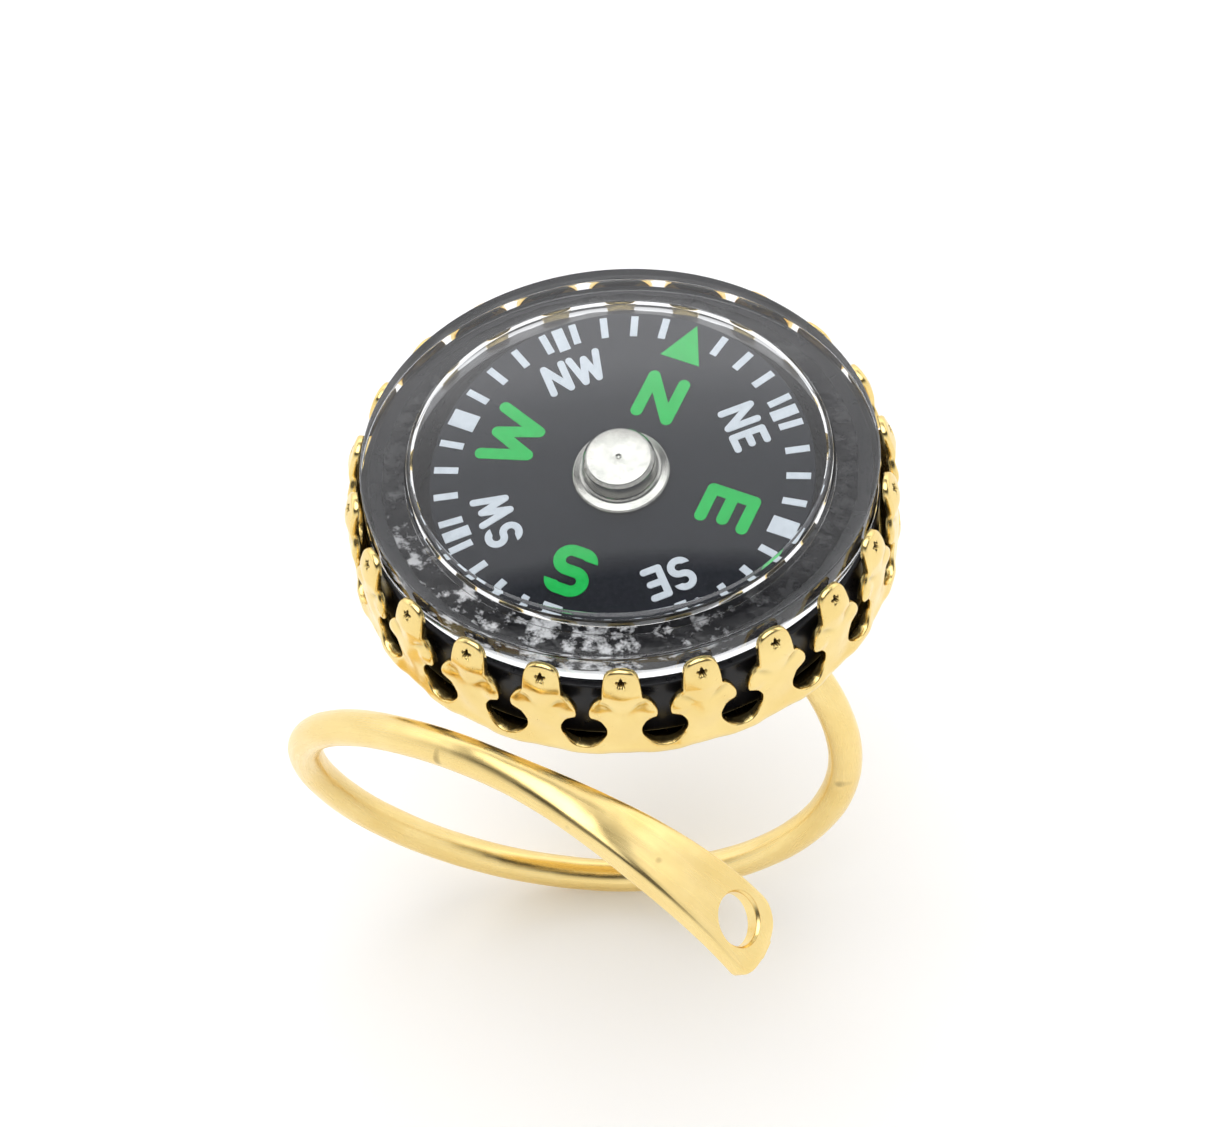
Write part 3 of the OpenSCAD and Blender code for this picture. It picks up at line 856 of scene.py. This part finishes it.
cap = paint(lathe("pivot_cap_turned", fillet([
    (0, CAP_TOP - 0.05, 0), (0.05, CAP_TOP - 0.05, 0.01), (0.13, CAP_TOP, 0.03),
    (CAP_R - 0.13, CAP_TOP, 0.1),
    (CAP_R, CAP_TOP - 0.15, 0.1), (CAP_R, CARD_TOP + 0.30, 0.3),
    (FLANGE_R - 0.06, CARD_TOP + 0.24, 0.05), (FLANGE_R, CARD_TOP + 0.18, 0.06), (FLANGE_R, CARD_TOP, 0.02),
    (SPIGOT_R, CARD_TOP, 0.01), (SPIGOT_R, SPIGOT_END, 0.04), (JEWEL_HOLE_R, SPIGOT_END, 0.02),
    (JEWEL_HOLE_R, CAP_TOP - CAP_INSIDE, 0.02), (0, CAP_TOP - CAP_INSIDE, 0)], 6), 160, ON_CARD),
    "cap_metal")
place(cap, "dial", "pivot_cap")

# ---------------------------------------------------------------- camera

camera_data = bpy.data.cameras.new("camera")
camera = bpy.data.objects.new("camera", camera_data)
bpy.context.scene.collection.objects.link(camera)
bpy.context.scene.camera = camera
camera_data.sensor_width = 36
camera_data.lens = 100.15
camera_data.clip_start, camera_data.clip_end = 0.005, 10
AZIMUTH, ELEVATION, ROLL, DISTANCE = math.radians(26), math.radians(48.1), math.radians(4.7), 130
# The compass sits a little right of the middle of the picture and well above it
OFF_RIGHT, OFF_UP = 0.384, 4.22
target = Vector((0, 0, RIM_Z))
back = Vector((math.sin(AZIMUTH) * math.cos(ELEVATION), -math.cos(AZIMUTH) * math.cos(ELEVATION),
               math.sin(ELEVATION)))
aim = Vector((OFF_RIGHT / DISTANCE, OFF_UP / DISTANCE, -1)).normalized()
look = (-back).to_track_quat("-Z", "Y") @ Quaternion((0, 0, 1), -ROLL)
camera.rotation_mode = "QUATERNION"
camera.rotation_quaternion = look @ aim.rotation_difference(Vector((0, 0, -1)))
camera.location = (target + back * DISTANCE) * MM

# ---------------------------------------------------------------- floor and light

FLOOR_SIZE, FLOOR_GAP = 1.5, 0.00002
floor_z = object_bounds()[0].z - FLOOR_GAP
floor_mesh = bmesh.new()
bmesh.ops.create_grid(floor_mesh, x_segments=8, y_segments=8, size=FLOOR_SIZE)
floor = finish_mesh("floor", floor_mesh)
floor.location.z = floor_z
paper = Nodes("floor_paper").set(Roughness=0.7, Emission_Color=(1, 1, 0.98, 1), Emission_Strength=0.16)
paper.to("Base Color", paper.ramp(paper.noise(30, 3), [(0.3, (0.90, 0.905, 0.91)),
                                                       (0.7, (0.93, 0.93, 0.93))]))
floor.data.materials.append(paper.mat)


# A softbox overhead, a little to the left, turned to the compass
SOFTBOX_AT, SOFTBOX_SIZE, SOFTBOX_POWER = Vector((-0.04, 0.0, 0.52)), 0.42, 0.8
SOFTBOX_AIM = Vector((0, 0, 0.008))
softbox_data = bpy.data.lights.new("softbox_top", "AREA")
softbox_data.shape = "RECTANGLE"
softbox_data.size = softbox_data.size_y = SOFTBOX_SIZE
softbox_data.energy = SOFTBOX_POWER
softbox = bpy.data.objects.new("softbox_top", softbox_data)
bpy.context.scene.collection.objects.link(softbox)
softbox.location = SOFTBOX_AT
softbox.rotation_mode = "QUATERNION"
softbox.rotation_quaternion = (SOFTBOX_AIM - SOFTBOX_AT).to_track_quat("-Z", "Y")

world = bpy.data.worlds.new("studio")
bpy.context.scene.world = world
world.use_nodes = True
tree = world.node_tree
tree.nodes.clear()


def sky_node(kind, **values):
    n = tree.nodes.new(kind)
    for key, value in values.items():
        setattr(n, key, value)
    return n


coord = sky_node("ShaderNodeTexCoord")
split = sky_node("ShaderNodeSeparateXYZ")
tree.links.new(coord.outputs["Generated"], split.inputs[0])
behind = sky_node("ShaderNodeVectorMath", operation="DOT_PRODUCT")
behind.inputs[1].default_value = (-math.sin(AZIMUTH), math.cos(AZIMUTH), 0)
tree.links.new(coord.outputs["Generated"], behind.inputs[0])


def sky_ramp(stops):
    """Brightness of the sky by height, from (degrees above the horizon, brightness) stops."""
    n = sky_node("ShaderNodeValToRGB")
    set_ramp(n.color_ramp, [(math.sin(math.radians(deg)) * 0.5 + 0.5, (value, value, value * 1.02))
                            for deg, value in stops])
    up = sky_node("ShaderNodeMath", operation="MULTIPLY_ADD")
    up.inputs[1].default_value = up.inputs[2].default_value = 0.5
    tree.links.new(split.outputs["Z"], up.inputs[0])
    tree.links.new(up.outputs[0], n.inputs["Fac"])
    return n.outputs["Color"]


# Behind the ring a bright wall ends at a dark edge; in front the room is dimmer
rear = sky_ramp([(-5, 1.05), (8, 1.05), (25, 1.2), (38, 1.7), (43, 1.65), (45.3, 1.15), (48, 0.88),
                 (53.8, 0.70), (54.7, 0.03), (60, 0.03), (64, 1.3)])
front = sky_ramp([(-5, 1.05), (8, 1.05), (22, 0.9), (33, 0.35), (38, 0.03), (57, 0.03), (62, 0.4),
                  (68, 1.3)])
blend = sky_node("ShaderNodeMapRange", interpolation_type="SMOOTHSTEP")
for socket, value in zip(("From Min", "From Max", "To Min", "To Max"), (-0.15, 0.25, 0, 1)):
    blend.inputs[socket].default_value = value
tree.links.new(behind.outputs["Value"], blend.inputs["Value"])
both = sky_node("ShaderNodeMix", data_type="RGBA")
tree.links.new(blend.outputs[0], both.inputs["Factor"])
tree.links.new(front, both.inputs["A"])
tree.links.new(rear, both.inputs["B"])
background = sky_node("ShaderNodeBackground")
world_out = sky_node("ShaderNodeOutputWorld")
tree.links.new(both.outputs["Result"], background.inputs["Color"])
tree.links.new(background.outputs[0], world_out.inputs["Surface"])
background.inputs["Strength"].default_value = 1.0

bpy.context.scene.view_settings.view_transform = "Standard"
